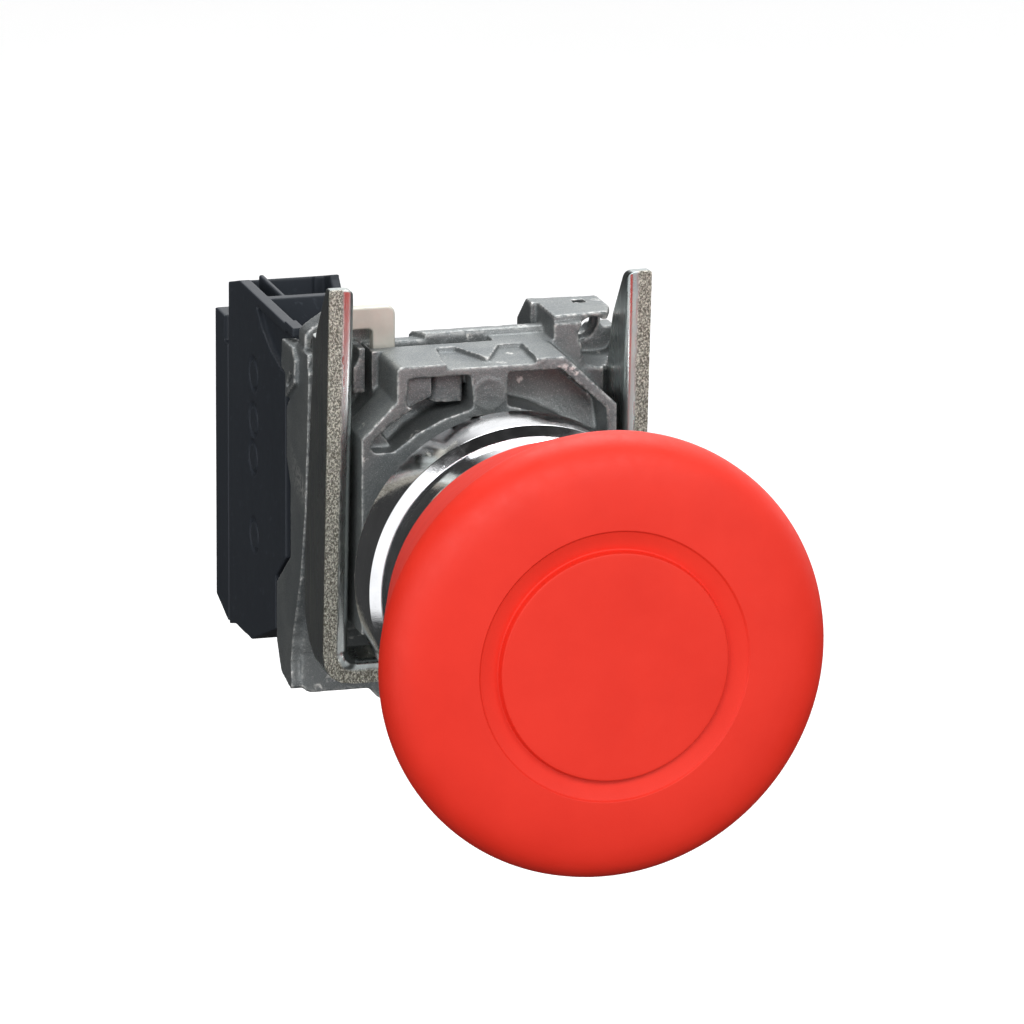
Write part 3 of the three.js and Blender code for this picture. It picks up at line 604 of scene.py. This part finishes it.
def add_head(looks):
    lathe_piece("bezel_ring", [
        (11.5, 0, 0.1),
        (12.1, 0, 0.1),
        (12.1, -0.9),
        (13.9, -0.9),
        (13.9, 0, 0.12),
        (14.5, 0, 0.22),
        (14.5, -5.2, 0.14),
        (13.62, -5.95, 0.04),
        (13.3, -5.97, 0.03),
        (13.3, -1.5),
        (11.5, -1.5, 0.1),
    ], looks["chrome"], "chrome", segments=224)
    lathe_piece("neck_sleeve", [
        (12.2, -3.3, 0.1),
        (13.22, -3.3, 0.1),
        (13.24, -5.98),
        (13.58, -6.02, 0.04),
        (13.3, -8.3, 0.3),
        (13.2, -14.5),
        (13.15, -14.8, 0.2),
        (12.6, -15, 0.2),
        (11.4, -15, 0.15),
        (11.4, -14.2, 0.15),
        (12.2, -14.2, 0.1),
    ], looks["chrome"], "chrome", segments=200)
    lathe_piece("panel_gasket", [
        (12.4, -0.6, 0.1),
        (13.6, -0.6, 0.1),
        (13.6, 0.45, 0.3),
        (12.4, 0.45, 0.3),
    ], looks["rubber"], "rubber")
    lathe_piece("stem_seal", [
        (10.9, -13.9, 0.1),
        (11.9, -13.9, 0.1),
        (11.9, -12.4, 0.1),
        (11.5, -12.4, 0.1),
        (11.3, -13.2, 0.15),
        (11.1, -12.7, 0.08),
        (10.9, -12.9, 0.05),
    ], looks["rubber"], "rubber")
    lathe_piece("push_stem", [
        (0, -26.7),
        (4.5, -26.7, 0.5),
        (4.5, -19),
        (8.2, -17.5, 0.3),
        (8.2, -15.5, 0.3),
        (4.5, -14, 0.3),
        (4.5, -2.7, 0.2),
        (8.4, -2.7, 0.2),
        (8.4, -1.6, 0.2),
        (4.5, -1.6, 0.2),
        (4.5, 3, 0.1),
        (4, 3.3, 0.15),
        (4, 4.4, 0.15),
        (4.5, 4.7, 0.1),
        (4.5, 7.3, 0.1),
        (4, 7.6, 0.15),
        (4, 8.7, 0.15),
        (4.5, 9, 0.1),
        (4.5, 17.1, 0.3),
        (1.8, 17.1, 0.1),
        (1.8, 9.2, 0.1),
        (0, 9.2),
    ], looks["black_plastic"], "black_plastic", segments=96)
    lathe_piece("pusher_plate", [
        (1.8, 17.4, 0.05),
        (10.6, 17.4, 0.25),
        (10.6, 18.6, 0.35),
        (8.6, 18.6, 0.1),
        (8.4, 18.25, 0.1),
        (5.2, 18.25, 0.1),
        (5.0, 18.6, 0.1),
        (3.4, 18.6, 0.15),
        (3.4, 17.9, 0.1),
        (1.8, 17.9, 0.1),
    ], looks["black_plastic"], "black_plastic", segments=144)
    refined("head_barrel", looks["cast_zinc"], voxel=0.16, passes=3)
    refined("pusher_screw", looks["plated"], voxel=0.06)
    refined("detent_clip", looks["spring"], voxel=0.06)


COIL_STEPS = 40  # in each turn
COIL_SIDES = 14
CLOSE_TURNS = (0.08, 0.92)  # shares of the wire before and after which the turns lie closer
OPEN_SHARE = 0.6  # the part of the rise that is made only between the close turns


def coil_mesh(name, x, z, radius, wire, y0, y1, turns, sides=COIL_SIDES):
    """A closed coil of round wire along Y, in millimetres."""
    steps = int(turns * COIL_STEPS)
    bm = bmesh.new()
    rings = []
    for i in range(steps + 1):
        t = i / steps
        angle = t * turns * 2 * math.pi
        rise = smoothstep(*CLOSE_TURNS, t) * OPEN_SHARE + t * (1 - OPEN_SHARE)
        y = y0 + wire + rise * (y1 - y0 - 2 * wire)
        out = Vector((math.cos(angle), 0, math.sin(angle)))
        centre = Vector((x, y, z)) + out * radius
        ring = []
        for k in range(sides):
            a = 2 * math.pi * k / sides
            point = centre + out * wire * math.cos(a) + Vector((0, wire * math.sin(a), 0))
            ring.append(bm.verts.new(point * MM))
        rings.append(ring)
    for a, b in zip(rings, rings[1:]):
        for k in range(sides):
            n = (k + 1) % sides
            bm.faces.new((a[k], a[n], b[n], b[k]))
    bm.faces.new(rings[0])
    bm.faces.new(list(reversed(rings[-1])))
    bmesh.ops.recalc_face_normals(bm, faces=bm.faces)
    mesh = bpy.data.meshes.new(name)
    bm.to_mesh(mesh)
    bm.free()
    smooth_by_angle(mesh, 50)
    return mesh


def add_springs(look):
    hold = coil_mesh("hold_spring", x=0, z=0, radius=7.2, wire=0.5, y0=-1.3, y1=15.3, turns=6.5)
    hold = new_piece("hold_spring_fine", hold, look, "body", ["hold_spring"])
    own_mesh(hold)
    contact = coil_mesh(
        "contact_spring", x=-10, z=0, radius=1.9, wire=0.2, y0=34.0, y1=43.3, turns=5, sides=10
    )
    contact = new_piece(
        "contact_spring_fine", contact, look, "body", ["contact_spring"]
    )
    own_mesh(contact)


# ---- collar, yoke and lever ---------------------------------------------------------------------


BOSS_X, BOSS_Z = -0.2, 14.4
BOSS_BACK_Y = 6.7  # only points in front of this belong to the boss
BOSS_RAISE, BOSS_DISH = 0.08, 0.03
COLLAR_FRONT_Y, COLLAR_TOP_Z = 6.6, 19  # past these the casting's unevenness only goes inwards


def collar_shape(p):
    """Low relief of the casting: the round boss with its dished middle, and a faint unevenness."""
    moved = p.copy()
    if p.y < BOSS_BACK_Y:
        boss = math.hypot(p.x - BOSS_X, p.z - BOSS_Z)
        moved.y -= BOSS_RAISE * smoothstep(1.75, 1.4, boss) - BOSS_DISH * smoothstep(1.3, 0.8, boss)
    wave = noise.noise(p * 0.9) * 0.03 + noise.noise(p * 3.5) * 0.018
    moved.y += wave if p.y > COLLAR_FRONT_Y else max(wave, 0)
    moved.z += 0.6 * wave if p.z < COLLAR_TOP_Z else min(wave, 0)
    return moved


FRONT_EDGE = ((6.55, 24.9), (8.9, -12.5))  # the yoke's sheared front edge, as (y, z)


def behind_front_edge(p):
    """How far p lies behind the yoke's front edge plane."""
    (y0, z0), (y1, z1) = FRONT_EDGE
    along = Vector((y1 - y0, z1 - z0)).normalized()
    across = Vector((-along.y, along.x))
    if across.x < 0:
        across.negate()
    return across.dot(Vector((p.y - y0, p.z - z0)))


SHEET = 2.3
BEND_CENTRE = Vector((12.0, -9.5))  # of the yoke's outer bend radius, as (|x|, z)
BEND_RADIUS = 3.0
TORN_DEPTH = 1.2  # how far the torn band reaches in from the outer face
ROLLOVER = 0.5  # radius of the inner edge
ARM_X = 9  # the middle of the foot, nearer the centre than this, is left as it is
BULGE_X, BULGE_Z, BULGE_RAISE = 12.9, -10.3, 0.28  # where the bend pushed the edge out, how far


def sheet_depth(p):
    """How far p lies under the yoke's outer face, and the outward direction there in X and Z."""
    across, up = abs(p.x) - BEND_CENTRE.x, p.z - BEND_CENTRE.y
    sign = math.copysign(1, p.x)
    if up >= 0:
        return BEND_CENTRE.x + BEND_RADIUS - abs(p.x), Vector((sign, 0))
    if across <= 0:
        return p.z - (BEND_CENTRE.y - BEND_RADIUS), Vector((0, -1))
    reach = math.hypot(across, up)
    return BEND_RADIUS - reach, Vector((sign * across / reach, up / reach))


def rolled_over(depth, side, radius):
    """Moves a point given by its depths behind two faces onto the fillet between them."""
    if depth >= radius or side >= radius:
        return depth, side
    away = Vector((depth - radius, side - radius))
    if away.length <= radius:
        return depth, side
    away = away.normalized() * radius
    return radius + away.x, radius + away.y


def torn_share(p, outer_depth, edge_depth):
    ragged = TORN_DEPTH + 0.2 + 0.2 * noise.noise(p * 0.9)
    band = smoothstep(ragged, TORN_DEPTH - 0.05, outer_depth)
    return band * smoothstep(0.4, 0.15, edge_depth)


def yoke_shape(p):
    """The sheared edge: rolled over inside, torn in a band outside, and bulging at the bend."""
    moved = p.copy()
    edge = behind_front_edge(p)
    if edge > 1 or abs(p.x) < ARM_X:
        return moved
    outer, outward = sheet_depth(p)
    side = SHEET - outer
    new_edge, new_side = rolled_over(max(edge, 0), max(side, 0), ROLLOVER)
    moved.y += new_edge - max(edge, 0)
    if side > 0:
        moved.x += outward.x * (new_side - side)
        moved.z += outward.y * (new_side - side)
    torn = torn_share(p, outer, edge) * smoothstep(0.0, 0.12, outer)
    moved.y += torn * (0.05 + 0.04 * noise.noise(p * 3.0) + 0.05 * noise.noise(p * 8.0))
    bulge = Vector((abs(p.x) - BULGE_X, p.z - BULGE_Z)).length
    moved.y -= BULGE_RAISE * smoothstep(1.1, 0.2, bulge) * smoothstep(1.0, 0.3, edge)
    return moved


def mark_torn_edge(piece):
    """A point attribute that is 1 on the torn band of the yoke's front edge."""
    mesh = piece.data
    band = mesh.attributes.new("torn", "FLOAT", "POINT")
    for vertex in mesh.vertices:
        p = vertex.co / MM
        band.data[vertex.index].value = torn_share(p, sheet_depth(p)[0], behind_front_edge(p))


def add_fixing(looks):
    zinc, steel = looks["cast_zinc"], looks["yoke"]
    refined("collar_body", zinc, voxel=0.15, passes=4, shape=collar_shape, keep=0.45)
    yoke = refined(
        "clamp_yoke", steel, voxel=0.11, passes=3, shape=yoke_shape, keep=0.7
    )
    mark_torn_edge(yoke)
    refined("locking_lever", looks["pale_plate"], voxel=0.09, passes=3)
    refined("tightening_screw", looks["plated"], voxel=0.06)


# ---- contact block ------------------------------------------------------------------------------


LEFT_SIDE_X = -14.93
MARK_CENTRES = ((33.9, 10.4), (33.9, 6.0), (34.1, 2.4), (33.8, -5.0))  # as (y, z)
MARK_DEPTH = 0.24


def housing_shape(p):
    """Moulded relief on the block's left side: shallow rings left by the ejector pins."""
    moved = p.copy()
    if p.x < LEFT_SIDE_X:
        for y, z in MARK_CENTRES:
            reach = math.hypot(p.y - y, p.z - z)
            moved.x += MARK_DEPTH * smoothstep(1.8, 1.6, reach) * smoothstep(1.2, 1.4, reach)
    return moved


def add_block(looks):
    slate = looks["slate"]
    refined("block_housing", slate, voxel=0.13, shape=housing_shape, keep=0.45)
    refined("block_rear_cover", slate, voxel=0.12)
    refined("contact_plunger", looks["signal_red"], voxel=0.09)
    refined("contact_bridge", looks["brass"], voxel=0.07)
    for side in ("upper", "lower"):
        refined("fixed_contact_" + side, looks["brass"], voxel=0.08)
        refined("terminal_screw_" + side, looks["plated"], voxel=0.06)
        refined("terminal_clamp_" + side, looks["plated"], voxel=0.07)


# ---- scene --------------------------------------------------------------------------------------

bpy.context.scene.view_settings.view_transform = "Standard"
add_camera()
add_world()
add_floor()
add_lights()

LOOKS = {
    "red": red_plastic(),
    "chrome": chrome(),
    "cast_zinc": cast_zinc(),
    "yoke": yoke_steel(),
    "pale_plate": plated_steel(
        "lever_zinc_plated", (0.56, 0.56, 0.50), (0.68, 0.67, 0.60), (0.42, 0.55), metallic=0.55
    ),
    "plated": plated_steel(
        "screw_zinc_plated", (0.50, 0.51, 0.48), (0.66, 0.66, 0.61), (0.20, 0.32)
    ),
    "spring": plated_steel("spring_wire", (0.42, 0.43, 0.44), (0.55, 0.56, 0.57), (0.18, 0.28)),
    "brass": plated_steel("stamped_brass", (0.58, 0.42, 0.17), (0.72, 0.55, 0.27), (0.20, 0.34)),
    "slate": moulded_plastic("slate_plastic", (0.024, 0.029, 0.037), 0.25, (0.46, 0.50)),
    "black_plastic": moulded_plastic("black_plastic", (0.014, 0.014, 0.015), 0.3),
    "signal_red": moulded_plastic("signal_red_plastic", (0.45, 0.03, 0.02), 0.15),
    "rubber": rubber(),
}

add_cap(LOOKS["red"])
add_head(LOOKS)
add_springs(LOOKS["spring"])
add_fixing(LOOKS)
add_block(LOOKS)
